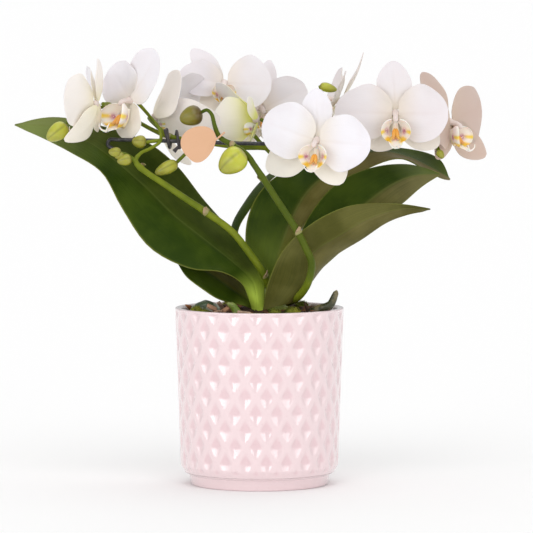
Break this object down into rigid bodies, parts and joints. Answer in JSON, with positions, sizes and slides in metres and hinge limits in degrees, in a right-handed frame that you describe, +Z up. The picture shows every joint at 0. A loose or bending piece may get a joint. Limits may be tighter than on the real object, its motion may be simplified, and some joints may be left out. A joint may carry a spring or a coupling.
{
  "type": "potted orchid",
  "caption": "White multiflora moth orchid with arching flower spikes over broad leaves, rooted in bark in a pink glazed ceramic pot with a diamond relief",
  "frame": {"origin": "centre of the glazed pot's flat base, at the height of the surface it stands on", "axes": "+Z up; -Y towards the front; +X to the right of someone facing the front"},
  "size_m": [0.3023, 0.1299, 0.2789],
  "materials": {
    "glaze": "glossy pale pink glaze, darker where it pools",
    "nursery": "thin clear plastic",
    "bark": "rough",
    "leaf": "smooth, slightly waxy",
    "stem": "smooth green",
    "root": "matt silver-green",
    "tepal": "soft white, faintly pink",
    "lip": "soft white with yellow and purple marks",
    "wire": "satin charcoal plastic coat",
    "clip": "matt charcoal",
    "card": "matt peach card"
  },
  "bodies": {
    "root": {"wire_left": "wire", "wire_right": "wire", "spike_front_left": "stem", "spike_front_right": "stem", "spike_back_left": "stem", "spike_back_right": "stem", "clip_left_inner": "clip", "clip_left_outer": "clip", "clip_right": "clip", "tag": "card", "bloom_far_left": "tepal", "lip_far_left": "lip", "bloom_left": "tepal", "lip_left": "lip", "bloom_middle_left": "tepal", "lip_middle_left": "lip", "bloom_top": "tepal", "lip_top": "lip", "bloom_middle_turned": "tepal", "lip_middle_turned": "lip", "bloom_middle_back": "tepal", "lip_middle_back": "lip", "bloom_front": "tepal", "lip_front": "lip", "bloom_right": "tepal", "lip_right": "lip", "bloom_far_right": "tepal", "lip_far_right": "lip", "bloom_back_turned": "tepal", "lip_back_turned": "lip", "crown": "stem", "leaf_left_long": "leaf", "leaf_left_short": "leaf", "leaf_back_arching": "leaf", "leaf_right": "leaf", "leaf_front_right": "leaf", "leaf_back_upright": "leaf", "root_left": "root", "root_stub": "root", "root_right": "root", "bark": "bark", "nursery_pot": "nursery", "glazed_pot": "glaze"}
  },
  "joints": []
}
